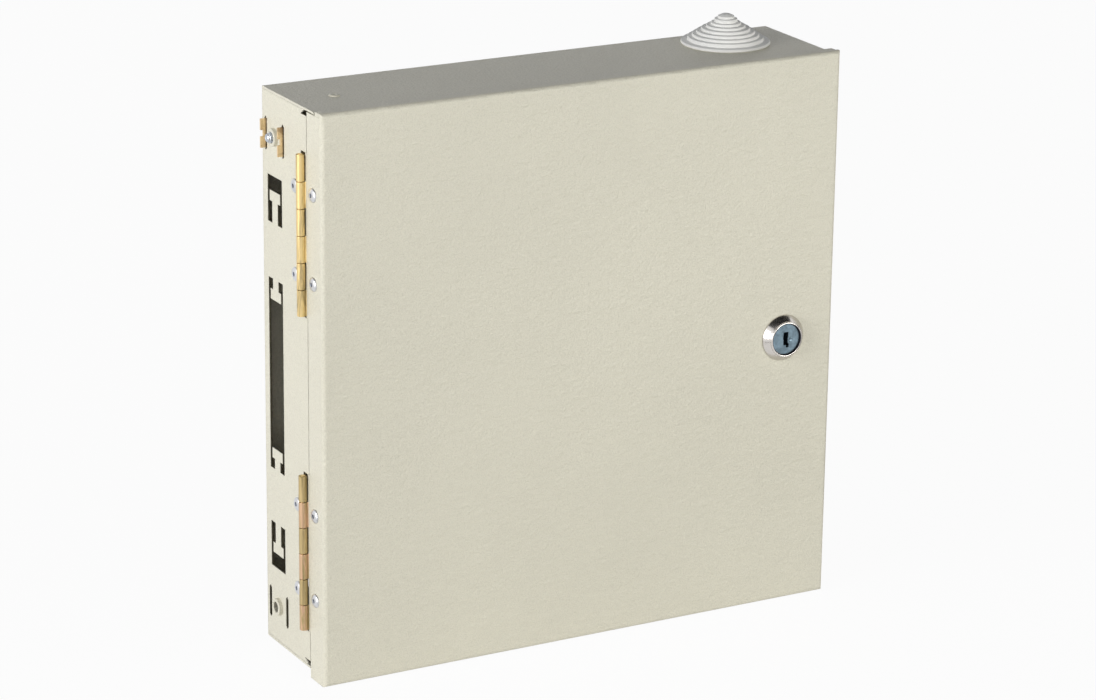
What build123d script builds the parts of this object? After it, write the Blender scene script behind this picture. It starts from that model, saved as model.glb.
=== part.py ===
from build123d import *

import os
from math import atan2, degrees

# Wall-mounted fiber optic distribution box, in millimetres.
# X runs to the right, Y runs back into the wall and Z is up. The origin is the centre of the box
# body's back face, where it lies on the wall. A depth is counted from the door's face, backwards.

# Folded sheet body
sheet = 1.0
body_w = 265.0
body_h = 265.0
depth = 63.0
body_bend = 2.5
return_w = 10.0
return_bend = 1.6
wall_hole_r = 3.0
wall_pitch = 220.0

# Door
door_side_over = 4.0
door_foot_over = 4.4
door_rise = 0.6
door_bend = 2.0
lip_depth = 6.5
lip_gap = 0.5
flange_depth = 14.6
seam_gap = 0.5
flange_top_gap = 0.5

# Relief cuts at the front ends of the left wall
relief_h = 2.5
relief_low = 5.6
relief_high = 2.2
flange_room = 5.0

# Piano hinges
hinge_len = 75.0
knuckles = 6
knuckle_gap = 0.3
knuckle_r = 2.0
knuckle_sides = 16
bore_sides = 12
pin_r = 1.15
pin_clear = 0.05
leaf = 0.8
hinge_out = 1.85
hinge_depth = 17.6
hinge_pitch = 150.5
side_drop = 1.2
hinge_slot_end = 0.7
slot_half = 3.0
leaf_clear = 0.2
leaf_reach = 14.0
tail_start = 1.0

# Blind rivets
rivet_head_r = 3.3
rivet_head_h = 1.3
rivet_sides = 16
rivet_taper = 45.0
rivet_offset = 9.1
rivet_pitch = 41.0

# Cable windows and clamp places in the left wall
column_depth = 48.5
window_w = 15.0
long_window_h = 91.6
small_window_h = 22.0
small_window_offset = 83.2
tongue_head_w = 11.0
tongue_head_h = 5.0
tongue_stem_w = 5.8
long_stem = 5.0
small_stem = 10.0
clamp_offset = 112.7
clamp_slot_pitch = 18.0
clamp_slot_w = 2.5
clamp_slot_h = 15.5
clamp_slot_end = 0.7

# Threaded bushes, clamp bracket and its screw
bush_r = 4.1
bush_sides = 24
bush_proud = 1.9
thread_r = 2.4
clamp_sheet = 1.0
clamp_h = 13.4
ear_proud = 2.7
ear_notch_r = 1.5
ear_notch_d = 1.3
clamp_screw_proud = 2.1
clamp_head_r = 4.2
clamp_head_h = 2.6

# Cam lock
lock_inset = 23.5
lock_z = -3.5
bezel_r = 11.3
bezel_sides = 36
bezel_proud = 4.0
bezel_face_r = 8.7
barrel_r = 9.0
barrel_flat = 8.1
barrel_len = 14.0
barrel_hole_clear = 0.1
plug_r = 5.5
plug_clear = 0.05
plug_head_r = 7.6
plug_head_t = 1.8
plug_sunk = 0.35
keyway_w = 2.0
keyway_h = 8.4
keyway_depth = 9.0
nut_flats = 22.0
nut_t = 4.0
tail_side = 6.0
cam_gap = 0.3
cam_t = 1.6
cam_w = 12.0
cam_len = 21.0
cam_step = 4.2
cam_foot = 10.5
cam_screw_r = 1.9
cam_screw_head_r = 4.4
cam_screw_head_h = 2.2
cam_screw_len = 6.0

# Stepped cable grommet in the top wall
grommet_inset = 35.1
grommet_depth = 40.0
grommet_flange_r = 21.1
grommet_flange_t = 1.6
grommet_hole_r = 16.5
grommet_lip_r = 18.5
grommet_lip_t = 1.6
grommet_wall = 1.6
grommet_slope = 45.0
grommet_sides = 20
grommet_tiers = (
    (17.9, 3.4), (15.8, 4.8), (13.7, 6.2), (11.5, 7.6), (9.2, 8.9), (7.1, 10.2), (5.4, 12.0), (3.7, 14.2),
)

# Rivet in the top wall
top_rivet_inset = 21.0
top_rivet_depth = 30.0
top_rivet_head_r = 2.6
top_rivet_head_h = 0.7

# Welded studs on the back wall
stud_r = 2.0
shoulder_sides = 12
nut_af = 7.0
stud_nut_t = 3.2
earth_inset = 18.5
earth_z = -78.0
earth_stud_len = 16.0
earth_shoulder_r = 5.0
earth_shoulder_t = 1.0

# Adapter bracket and its adapters
bracket_x = -62.0
bracket_sheet = 1.2
bracket_h = 196.0
bracket_depth = 50.0
bracket_foot = 16.0
bracket_bend = 2.0
adapter_count = 8
adapter_pitch = 20.0
adapter_w = 12.8
adapter_h = 9.2
adapter_len = 27.4
adapter_flange_w = 22.0
adapter_flange_t = 2.0
adapter_wall = 1.4
adapter_fit = 0.2
adapter_centre = 36.0
cap_plug_depth = 5.0
cap_rim = 1.5
cap_head = 4.0
cap_fit = 0.1

# Splice tray
tray_x = 26.0
tray_z = -14.0
tray_w = 132.0
tray_h = 176.0
tray_floor = 1.6
tray_wall = 1.6
tray_rim = 11.0
tray_corner = 14.0
tray_port_w = 12.0
tray_port_inset = 24.0
hub_r = 20.0
hub_sides = 24
hub_wall = 1.4
hub_h = 8.0
hub_gap = 16.0
hub_offset = 46.0
standoff_r = 5.0
standoff_len = 7.0
tray_stud_pitch = 144.0
lid_t = 1.8
lid_notch = 8.0
knob_r = 6.0
knob_h = 7.0
comb_w = 34.0
comb_h = 48.0
comb_base = 1.2
comb_slots = 9
comb_rib_t = 1.4
comb_rib_h = 5.0
comb_rows = 2

# Places worked out from the sizes above
front_y = -depth
body_left = -body_w / 2
body_right = body_w / 2
body_top = body_h / 2
body_front = front_y + lip_depth + lip_gap
wall_in = body_left + sheet
back_in = -sheet
door_left = body_left
door_right = body_right + door_side_over
door_top = body_top + door_rise
door_bottom = -body_top - door_foot_over
flange_top = body_top - sheet - flange_top_gap
seam_front = front_y + flange_depth
seam_back = seam_front + seam_gap
lock_x = body_right - lock_inset
grommet_x = body_right - grommet_inset
top_rivet_x = body_left + top_rivet_inset
earth_x = body_right - earth_inset
hinge_x = body_left - hinge_out
hinge_y = front_y + hinge_depth
slot_back = hinge_y + slot_half
column_y = front_y + column_depth
hinge_centres = (hinge_pitch / 2 - side_drop, -hinge_pitch / 2 - side_drop)
knuckle_pitch = hinge_len / knuckles
rivet_heights = [c + s * rivet_pitch / 2 for c in hinge_centres for s in (1, -1)]
clamp_centres = (clamp_offset - side_drop, -clamp_offset - side_drop)
cam_depth = barrel_len + cam_gap
tail_end = cam_depth + cam_t
tray_back = back_in - standoff_len


def depth_plane(x, d, z):
    """Plane whose local x is the world's X and whose local y runs back from depth d."""
    return Plane((x, front_y + d, z), x_dir=(1, 0, 0), z_dir=(0, 0, 1))


def turn(plane):
    """Revolve the pending profile about its plane's local y axis."""
    revolve(axis=Axis(plane.origin, plane.y_dir))


def bore(radius, sides=bore_sides):
    """Cut a many-sided hole that just clears a round shaft of that radius."""
    RegularPolygon(radius, sides, major_radius=False, mode=Mode.SUBTRACT)


def save(piece, name):
    """Label a finished piece and write its STEP file."""
    piece.part.label = name
    export_step(piece.part, f"parts/{name}.step")


def tongue_window(height, tongues):
    """Window in the left wall, drawn as local x = depth axis Y and local y = Z, less its tongues.

    Each tongue is (end, stem): it stands on the window's upper (1) or lower (-1) edge.
    """
    Rectangle(window_w, height)
    for end, stem in tongues:
        edge = end * height / 2
        reach = stem + tongue_head_h
        with Locations((0, edge - end * reach / 2)):
            Rectangle(tongue_stem_w, reach, mode=Mode.SUBTRACT)
        with Locations((0, edge - end * (stem + tongue_head_h / 2))):
            Rectangle(tongue_head_w, tongue_head_h, mode=Mode.SUBTRACT)


def make_body():
    """Box shell: back, four walls, front returns, windows, slots, holes and reliefs."""
    body_d = -body_front
    with BuildPart() as body:
        with BuildSketch(Plane.XZ):
            Rectangle(body_w, body_h)
        extrude(amount=body_d)
        fillet(body.faces().sort_by(Axis.Y)[-1].edges(), radius=body_bend)
        front = body.faces().sort_by(Axis.Y)[0]
        right_and_ends = [e for e in front.edges() if e.center().X > body_left + sheet]
        fillet(right_and_ends, radius=return_bend)

        # Hollow it behind the front returns, with the inside radius of the back bends
        with BuildSketch(Plane.XZ.offset(sheet)):
            Rectangle(body_w - 2 * sheet, body_h - 2 * sheet)
        extrude(amount=body_d - 2 * sheet, mode=Mode.SUBTRACT)
        inner_back = [
            e for e in body.edges()
            if abs(e.center().Y + sheet) < 0.01 and abs(e.center().X) < body_right - sheet / 2
            and abs(e.center().Z) < body_top - sheet / 2 and e.length > body_w / 2
        ]
        fillet(inner_back, radius=body_bend - sheet)

        # Front opening between the three returns; the left end is open for the door's flange
        opening_left = body_left + sheet
        opening_right = body_right - return_w
        with BuildSketch(Plane.XZ.offset(body_d - 2 * sheet)):
            with Locations(((opening_left + opening_right) / 2, 0)):
                Rectangle(opening_right - opening_left, body_h - 2 * return_w)
        extrude(amount=3 * sheet, mode=Mode.SUBTRACT)

        # The left wall stops behind the door's flange, and the floor is notched round it
        with BuildSketch(Plane.XY.offset(-body_top - sheet)):
            with Locations((body_left, body_front)):
                Rectangle(2 * flange_room, 2 * (seam_back - body_front))
        extrude(amount=body_h, mode=Mode.SUBTRACT)

        # Slots for the hinge barrels, open to the wall's front edge
        with BuildSketch(Plane.YZ.offset(body_left - sheet)):
            for z in hinge_centres:
                with Locations(((body_front + slot_back) / 2, z)):
                    Rectangle(slot_back - body_front, hinge_len + 2 * hinge_slot_end)
        extrude(amount=2 * sheet + sheet / 2, mode=Mode.SUBTRACT)

        # Bend reliefs at both front ends of the left wall
        with BuildSketch(Plane.YZ.offset(body_left - sheet)):
            for end in (1, -1):
                edge = end * (body_top - sheet)
                with BuildLine():
                    Polyline(
                        (seam_back - sheet, edge), (seam_back + relief_high, edge),
                        (seam_back + relief_low, edge - end * relief_h),
                        (seam_back - sheet, edge - end * relief_h), close=True,
                    )
                make_face()
        extrude(amount=2 * sheet + sheet / 2, mode=Mode.SUBTRACT)

        # Cable windows with tie tongues, and the clamp slots with their bush holes
        with BuildSketch(Plane.YZ.offset(body_left - sheet)):
            with Locations((column_y, -side_drop)):
                tongue_window(long_window_h, ((1, long_stem), (-1, long_stem)))
        extrude(amount=3 * sheet, mode=Mode.SUBTRACT)
        for end in (1, -1):
            window_z = end * small_window_offset - side_drop
            with BuildSketch(Plane.YZ.offset(body_left - sheet)):
                with Locations((column_y, window_z)):
                    tongue_window(small_window_h, ((-end, small_stem),))
            extrude(amount=3 * sheet, mode=Mode.SUBTRACT)
        with BuildSketch(Plane.YZ.offset(body_left - sheet)):
            for z in clamp_centres:
                with Locations((column_y, z)):
                    Circle(thread_r)
                with Locations((column_y - clamp_slot_pitch / 2, z), (column_y + clamp_slot_pitch / 2, z)):
                    Rectangle(clamp_slot_w, clamp_slot_h - 2 * clamp_slot_end)
                    Rectangle(clamp_slot_w - 2 * clamp_slot_end, clamp_slot_h)
        extrude(amount=3 * sheet, mode=Mode.SUBTRACT)

        # Grommet hole in the top wall, fixing holes in the back
        with BuildSketch(Plane.XY.offset(body_top - 2 * sheet)):
            with Locations((grommet_x, front_y + grommet_depth)):
                Circle(grommet_hole_r)
        extrude(amount=3 * sheet, mode=Mode.SUBTRACT)
        with BuildSketch(Plane.XZ.offset(-sheet)):
            with GridLocations(wall_pitch, wall_pitch, 2, 2):
                Circle(wall_hole_r)
        extrude(amount=3 * sheet, mode=Mode.SUBTRACT)
    return body


def make_wall_space():
    """Space of the hinge wall: between the top, the floor and the bend at the back."""
    low = body_front - sheet
    with BuildPart() as space:
        with BuildSketch(Plane.YZ.offset(body_left - sheet)):
            with Locations(((low - body_bend) / 2, 0)):
                Rectangle(-body_bend - low, body_h - 2 * sheet)
        extrude(amount=2 * sheet)
    return space


def make_door():
    """Folded door: face, shallow lips on three sides and a deep hinge flange on the left."""
    door_z = (door_top + door_bottom) / 2
    door_x = (door_left + door_right) / 2
    door_w = door_right - door_left
    door_h = door_top - door_bottom
    with BuildPart() as door:
        with BuildSketch(Plane.XZ.offset(depth - lip_depth)):
            with Locations((door_x, door_z)):
                Rectangle(door_w, door_h)
        extrude(amount=lip_depth)
        fillet(door.faces().sort_by(Axis.Y)[0].edges(), radius=door_bend)
        with BuildSketch(Plane.XZ.offset(depth - lip_depth)):
            with Locations((door_x, door_z)):
                Rectangle(door_w - 2 * sheet, door_h - 2 * sheet)
        extrude(amount=lip_depth - sheet, mode=Mode.SUBTRACT)
        inside = [
            e for e in door.edges()
            if abs(e.center().Y - front_y - sheet) < 0.01 and e.length > door_w / 2
        ]
        fillet(inside, radius=door_bend - sheet)

        # Hinge flange, and the clearance above it for the body's top wall
        flange_h = flange_top - door_bottom
        with BuildSketch(Plane.YZ.offset(door_left)):
            with Locations(((front_y + lip_depth + seam_front) / 2, door_bottom + flange_h / 2)):
                Rectangle(flange_depth - lip_depth, flange_h)
        extrude(amount=sheet)
        with BuildSketch(Plane.YZ.offset(door_left - sheet)):
            with Locations((seam_back, flange_top)):
                Rectangle(2 * (seam_back - front_y - door_bend), 2 * (body_top - flange_top + 2 * sheet))
            with Locations((seam_back, flange_top - body_top)):
                Rectangle(2 * depth, 2 * body_top, mode=Mode.SUBTRACT)
        extrude(amount=2 * sheet + sheet / 4, mode=Mode.SUBTRACT)

        # Corner reliefs where two lips meet
        with BuildSketch(Plane.XZ.offset(depth - lip_depth - sheet)):
            for x, z in ((door_right, door_top), (door_right, door_bottom)):
                with Locations((x, z)):
                    Rectangle(2.6 * sheet, 2.6 * sheet)
        extrude(amount=lip_depth - door_bend, mode=Mode.SUBTRACT)

        # Flatted lock hole
        with BuildSketch(Plane.XZ.offset(depth - 2 * sheet)):
            with Locations((lock_x, lock_z)):
                Circle(barrel_r + barrel_hole_clear)
                Rectangle(2 * (barrel_flat + barrel_hole_clear), 3 * barrel_r, mode=Mode.INTERSECT)
        extrude(amount=3 * sheet, mode=Mode.SUBTRACT)
    return door


def make_leaf(centre, side):
    """One hinge leaf. side 1 is the body's leaf, reaching back, and -1 is the door's."""
    bore_r = pin_r if side > 0 else pin_r + pin_clear
    first = 0 if side > 0 else 1
    flat = hinge_out + sheet + leaf / 2
    rolled = knuckle_r - leaf / 2
    flat_start = slot_half - leaf_clear
    top = centre + hinge_len / 2
    with BuildPart() as leaf_part:
        # Flat of the leaf behind the sheet, over the hinge's whole length
        with BuildSketch(Plane((hinge_x, hinge_y, centre), x_dir=(0, 1, 0), z_dir=(1, 0, 0))):
            with Locations((side * (flat_start + leaf_reach) / 2, 0)):
                Rectangle(leaf_reach - flat_start, hinge_len)
        extrude(amount=flat + leaf / 2)
        with BuildSketch(Plane((hinge_x, hinge_y, centre), x_dir=(0, 1, 0), z_dir=(1, 0, 0))):
            with Locations((side * (flat_start + leaf_reach) / 2, 0)):
                Rectangle(leaf_reach - flat_start + 1, hinge_len + 1)
        extrude(amount=flat - leaf / 2, mode=Mode.SUBTRACT)

        # Each knuckle is a roll with a joggled tail down to the flat
        for index in range(first, knuckles, 2):
            z_low = top - (index + 1) * knuckle_pitch + knuckle_gap / 2
            with BuildSketch(Plane.XY.offset(z_low)):
                with BuildLine():
                    Polyline(
                        (hinge_x, hinge_y), (hinge_x + knuckle_r, hinge_y),
                        (hinge_x + knuckle_r, hinge_y + side * tail_start),
                        (hinge_x + flat + leaf / 2, hinge_y + side * flat_start),
                        (hinge_x + flat - leaf / 2, hinge_y + side * flat_start),
                        (hinge_x + rolled - leaf / 2, hinge_y + side * (tail_start + leaf_clear)), close=True,
                    )
                make_face()
                with Locations((hinge_x, hinge_y)):
                    RegularPolygon(knuckle_r, knuckle_sides)
                    bore(bore_r)
            extrude(amount=knuckle_pitch - knuckle_gap)
    return leaf_part


def make_pin(centre):
    """Hinge pin, as long as the hinge."""
    with BuildPart() as pin:
        with BuildSketch(Plane.XY.offset(centre - hinge_len / 2)):
            with Locations((hinge_x, hinge_y)):
                Circle(pin_r)
        extrude(amount=hinge_len)
    return pin


def make_rivets(offset):
    """Heads of the four blind rivets on one side of the hinges."""
    with BuildPart() as rivets:
        with BuildSketch(Plane.YZ.offset(body_left)):
            for z in rivet_heights:
                with Locations((hinge_y + offset, z)):
                    RegularPolygon(rivet_head_r, rivet_sides)
        extrude(amount=-rivet_head_h, taper=rivet_taper)
    return rivets


def make_bush(z):
    """Threaded bush welded to the left wall over a hole."""
    with BuildPart() as bush:
        with BuildSketch(Plane.YZ.offset(body_left - bush_proud)):
            with Locations((column_y, z)):
                RegularPolygon(bush_r, bush_sides)
                Circle(thread_r, mode=Mode.SUBTRACT)
        extrude(amount=bush_proud)
    return bush


def make_clamp_bracket():
    """Plated U bracket: its base lies inside the wall and its two notched ears pass the slots."""
    z = clamp_centres[0]
    ear_mid = clamp_slot_pitch / 2
    base_x = wall_in
    ear_end = body_left - ear_proud
    with BuildPart() as bracket:
        with BuildSketch(Plane.XY.offset(z - clamp_h / 2)):
            with BuildLine() as fold:
                FilletPolyline(
                    (ear_end, column_y - ear_mid), (base_x + clamp_sheet / 2, column_y - ear_mid),
                    (base_x + clamp_sheet / 2, column_y + ear_mid), (ear_end, column_y + ear_mid),
                    radius=clamp_sheet,
                )
            trace(fold.line, line_width=clamp_sheet)
        extrude(amount=clamp_h)
        with BuildSketch(Plane.YZ.offset(base_x - sheet / 2)):
            with Locations((column_y, z)):
                Circle(thread_r)
        extrude(amount=2 * clamp_sheet, mode=Mode.SUBTRACT)
        with BuildSketch(Plane.XZ.offset(-(column_y + ear_mid + clamp_sheet))):
            with Locations((ear_end, z)):
                Rectangle(2 * ear_notch_d, 2 * ear_notch_r)
        extrude(amount=clamp_slot_pitch + 2 * clamp_sheet, mode=Mode.SUBTRACT)
    return bracket


def make_clamp_screw():
    """Screw put in from inside, through the bracket and the bush, its end standing proud."""
    z = clamp_centres[0]
    head_x = wall_in + clamp_sheet
    tip_x = body_left - bush_proud - clamp_screw_proud
    with BuildPart() as screw:
        with BuildSketch(Plane.YZ.offset(tip_x)):
            with Locations((column_y, z)):
                Circle(thread_r)
        extrude(amount=head_x - tip_x)
        with BuildSketch(Plane.YZ.offset(head_x)):
            with Locations((column_y, z)):
                RegularPolygon(clamp_head_r, 6)
        extrude(amount=clamp_head_h)
    return screw


def make_lock_barrel():
    """Lock housing: tapered bezel with a recess for the plug's face, and a flatted barrel."""
    bezel_slope = degrees(atan2(bezel_r - bezel_face_r, bezel_proud))
    seat = bezel_proud - plug_sunk - plug_head_t
    with BuildPart() as barrel:
        with BuildSketch(Plane.XZ.offset(depth)):
            with Locations((lock_x, lock_z)):
                RegularPolygon(bezel_r, bezel_sides)
        extrude(amount=bezel_proud, taper=bezel_slope)
        with BuildSketch(Plane.XZ.offset(depth)):
            with Locations((lock_x, lock_z)):
                RegularPolygon(barrel_r, bezel_sides)
                Rectangle(2 * barrel_flat, 2 * barrel_r, mode=Mode.INTERSECT)
        extrude(amount=-barrel_len)
        with BuildSketch(Plane.XZ.offset(depth + seat)):
            with Locations((lock_x, lock_z)):
                RegularPolygon(plug_head_r + plug_clear, bezel_sides, major_radius=False)
        extrude(amount=bezel_proud, mode=Mode.SUBTRACT)
        with BuildSketch(Plane.XZ.offset(depth - barrel_len)):
            with Locations((lock_x, lock_z)):
                RegularPolygon(plug_r + plug_clear, bezel_sides, major_radius=False)
        extrude(amount=barrel_len + bezel_proud, mode=Mode.SUBTRACT)
    return barrel


def make_lock_plug():
    """Turning plug: broad plated face with a stepped keyway, and a square tail for the cam."""
    place = depth_plane(lock_x, 0, lock_z)
    face = plug_sunk - bezel_proud
    seat = face + plug_head_t
    with BuildPart() as plug:
        with BuildSketch(place):
            with BuildLine():
                Polyline((0, face), (plug_head_r, face),
                         (plug_head_r, seat - plug_clear), (plug_r, seat - plug_clear),
                         (plug_r, cam_depth), (0, cam_depth), close=True)
            make_face()
        turn(place)
        with BuildSketch(Plane.XZ.offset(depth - cam_depth)):
            with Locations((lock_x, lock_z)):
                Rectangle(tail_side, tail_side)
        extrude(amount=-cam_t)
        with BuildSketch(Plane.XZ.offset(depth - face)):
            with Locations((lock_x - keyway_w * 0.12, lock_z + keyway_h / 4)):
                Rectangle(keyway_w, keyway_h / 2)
            with Locations((lock_x + keyway_w * 0.18, lock_z - keyway_h / 4)):
                Rectangle(keyway_w * 0.8, keyway_h / 2 + 0.02)
        extrude(amount=-keyway_depth, mode=Mode.SUBTRACT)
        with BuildSketch(Plane.XZ.offset(depth - tail_end)):
            with Locations((lock_x, lock_z)):
                Circle(cam_screw_r)
        extrude(amount=cam_screw_len - cam_t, mode=Mode.SUBTRACT)
    return plug


def make_lock_nut():
    """Hexagonal nut that clamps the lock to the door."""
    with BuildPart() as nut:
        with BuildSketch(Plane.XZ.offset(depth - sheet - nut_t)):
            with Locations((lock_x, lock_z)):
                RegularPolygon(nut_flats / 2, 6, major_radius=False)
                RegularPolygon(barrel_r, bezel_sides, mode=Mode.SUBTRACT)
        extrude(amount=nut_t)
    return nut


def make_lock_cam():
    """Cam plate, joggled forward to pass behind the body's front return when it is turned."""
    start_y = front_y + cam_depth
    mid = cam_t / 2
    with BuildPart() as cam:
        with BuildSketch(Plane.YZ.offset(lock_x - cam_w / 2)):
            with BuildLine() as fold:
                FilletPolyline(
                    (start_y + mid, lock_z - cam_w / 2), (start_y + mid, lock_z + cam_foot),
                    (start_y + mid - cam_step, lock_z + cam_foot + cam_step),
                    (start_y + mid - cam_step, lock_z + cam_len), radius=1.5,
                )
            trace(fold.line, line_width=cam_t)
        extrude(amount=cam_w)
        ends = cam.edges().filter_by(Axis.Y).group_by(Axis.Z)
        chamfer(ends[0] + ends[-1], length=cam_w / 4)
        with BuildSketch(Plane.XZ.offset(depth - cam_depth + cam_t)):
            with Locations((lock_x, lock_z)):
                Rectangle(tail_side, tail_side)
        extrude(amount=-3 * cam_t, mode=Mode.SUBTRACT)
    return cam


def make_cam_screw():
    """Hexagon screw that holds the cam on the plug's tail."""
    with BuildPart() as screw:
        with BuildSketch(Plane.XZ.offset(depth - tail_end)):
            with Locations((lock_x, lock_z)):
                Circle(cam_screw_r)
        extrude(amount=cam_screw_len - cam_t)
        with BuildSketch(Plane.XZ.offset(depth - tail_end)):
            with Locations((lock_x, lock_z)):
                RegularPolygon(cam_screw_head_r, 6)
        extrude(amount=-cam_screw_head_h)
    return screw


def make_grommet():
    """Moulded stepped cone, hollow below, held in the top wall's hole by a lip under the sheet."""
    place = (grommet_x, front_y + grommet_depth)
    levels = (
        (grommet_lip_r, -sheet - grommet_lip_t, -sheet), (grommet_hole_r, -sheet, 0),
        (grommet_flange_r, 0, grommet_flange_t),
    )
    start = grommet_flange_t
    for radius, top in grommet_tiers:
        levels += ((radius, start, top),)
        start = top
    hollow_h = grommet_tiers[-2][1] - grommet_wall + sheet + grommet_lip_t
    with BuildPart() as grommet:
        for radius, low, high in levels:
            with BuildSketch(Plane.XY.offset(body_top + low)):
                with Locations(place):
                    RegularPolygon(radius, grommet_sides)
            extrude(amount=high - low)
        with BuildSketch(Plane.XY.offset(body_top - sheet - grommet_lip_t)):
            with Locations(place):
                RegularPolygon(grommet_hole_r - grommet_wall, grommet_sides)
        extrude(amount=hollow_h, taper=grommet_slope, mode=Mode.SUBTRACT)
    return grommet


def make_top_rivet():
    """Flat head of a small plug rivet in the top wall."""
    with BuildPart() as rivet:
        with BuildSketch(Plane.XY.offset(body_top)):
            with Locations((top_rivet_x, front_y + top_rivet_depth)):
                RegularPolygon(top_rivet_head_r, rivet_sides)
        extrude(amount=top_rivet_head_h)
    return rivet


def make_studs(places, shoulder_r, shoulder_len, length):
    """Shoulder studs welded to the back wall."""
    with BuildPart() as studs:
        with BuildSketch(Plane.XZ.offset(sheet)):
            with Locations(*places):
                RegularPolygon(shoulder_r, shoulder_sides)
        extrude(amount=shoulder_len)
        with BuildSketch(Plane.XZ.offset(sheet + shoulder_len)):
            with Locations(*places):
                Circle(stud_r)
        extrude(amount=length - shoulder_len)
    return studs


def make_nuts(places, under, across, thickness):
    """Hexagonal nuts on the studs, seated at the given distance from the back wall's outer face."""
    with BuildPart() as nuts:
        with BuildSketch(Plane.XZ.offset(under)):
            with Locations(*places):
                RegularPolygon(across / 2, 6, major_radius=False)
                bore(stud_r)
        extrude(amount=thickness)
    return nuts


adapter_y = back_in - adapter_centre
adapter_zs = [(i - (adapter_count - 1) / 2) * adapter_pitch for i in range(adapter_count)]
tray_studs = [(tray_x, tray_z + s * tray_stud_pitch / 2) for s in (1, -1)]
earth_studs = [(earth_x, earth_z)]


def make_adapter_bracket():
    """Folded bracket: a foot on the back wall and an upright plate with a row of adapter cut-outs."""
    half = bracket_sheet / 2
    with BuildPart() as bracket:
        with BuildSketch(Plane.XY.offset(-bracket_h / 2)):
            with BuildLine() as fold:
                FilletPolyline(
                    (bracket_x + bracket_foot, back_in - half), (bracket_x, back_in - half),
                    (bracket_x, back_in - bracket_depth), radius=bracket_bend,
                )
            trace(fold.line, line_width=bracket_sheet)
        extrude(amount=bracket_h)
        chamfer(bracket.edges().filter_by(Axis.X).group_by(Axis.Y)[0], length=4)
        with BuildSketch(Plane.YZ.offset(bracket_x - bracket_sheet)):
            for z in adapter_zs:
                with Locations((adapter_y, z)):
                    Rectangle(adapter_w + 2 * adapter_fit, adapter_h + 2 * adapter_fit)
        extrude(amount=2 * bracket_sheet, mode=Mode.SUBTRACT)
    return bracket


def make_adapter(z):
    """Moulded coupler: square tube through the cut-out, mounting flange, and a web between its mouths."""
    flange_x = bracket_x - bracket_sheet / 2 - adapter_flange_t
    with BuildPart() as adapter:
        with BuildSketch(Plane.YZ.offset(bracket_x - adapter_len / 2)):
            with Locations((adapter_y, z)):
                Rectangle(adapter_w, adapter_h)
        extrude(amount=adapter_len)
        with BuildSketch(Plane.YZ.offset(flange_x)):
            with Locations((adapter_y, z)):
                Rectangle(adapter_flange_w, adapter_h)
        extrude(amount=adapter_flange_t)
        for mouth, way in ((bracket_x - adapter_len / 2, 1), (bracket_x + adapter_len / 2, -1)):
            with BuildSketch(Plane.YZ.offset(mouth)):
                with Locations((adapter_y, z)):
                    Rectangle(adapter_w - 2 * adapter_wall, adapter_h - 2 * adapter_wall)
            extrude(amount=way * (adapter_len / 2 - adapter_wall), mode=Mode.SUBTRACT)
    return adapter


def make_cap(z, side):
    """Dust cap pushed into one mouth of an adapter. side -1 is the patch side."""
    mouth = bracket_x + side * adapter_len / 2
    plane = Plane((mouth, adapter_y, z), x_dir=(0, 1, 0), z_dir=(side, 0, 0))
    inner_w = adapter_w - 2 * adapter_wall - 2 * cap_fit
    inner_h = adapter_h - 2 * adapter_wall - 2 * cap_fit
    with BuildPart() as cap:
        with BuildSketch(plane):
            Rectangle(inner_w, inner_h)
        extrude(amount=-cap_plug_depth)
        with BuildSketch(plane):
            Rectangle(inner_w + cap_rim, inner_h + cap_rim)
        extrude(amount=cap_head)
    return cap


def make_tray():
    """Moulded splice tray: floor, rim with fibre ports, two winding hubs and stud holes."""
    with BuildPart() as tray:
        with BuildSketch(Plane.XZ.offset(-tray_back)) as outer:
            with Locations((tray_x, tray_z)):
                Rectangle(tray_w, tray_h)
            chamfer(outer.vertices(), length=tray_corner)
        extrude(amount=tray_floor + tray_rim)
        with BuildSketch(Plane.XZ.offset(-tray_back + tray_floor)) as inner:
            with Locations((tray_x, tray_z)):
                Rectangle(tray_w - 2 * tray_wall, tray_h - 2 * tray_wall)
            chamfer(inner.vertices(), length=tray_corner - tray_wall / 2)
        extrude(amount=tray_rim, mode=Mode.SUBTRACT)
        # Fibre ports through the upper and lower rim
        with BuildSketch(Plane.XZ.offset(-tray_back + tray_floor)):
            with Locations((tray_x, tray_z)):
                with GridLocations(tray_w - 2 * tray_port_inset, tray_h, 2, 2):
                    Rectangle(tray_port_w, 4 * tray_wall)
        extrude(amount=tray_rim, mode=Mode.SUBTRACT)
        # Split winding hubs
        with BuildSketch(Plane.XZ.offset(-tray_back + tray_floor)):
            for s in (1, -1):
                with Locations((tray_x, tray_z + s * hub_offset)):
                    RegularPolygon(hub_r, hub_sides)
                    RegularPolygon(hub_r - hub_wall, hub_sides, mode=Mode.SUBTRACT)
                    Rectangle(hub_gap, 3 * hub_r, mode=Mode.SUBTRACT)
        extrude(amount=hub_h)
        with BuildSketch(Plane.XZ.offset(-tray_back)):
            with Locations(*tray_studs):
                RegularPolygon(stud_r, bore_sides, major_radius=False)
        extrude(amount=tray_floor, mode=Mode.SUBTRACT)
    return tray


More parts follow.
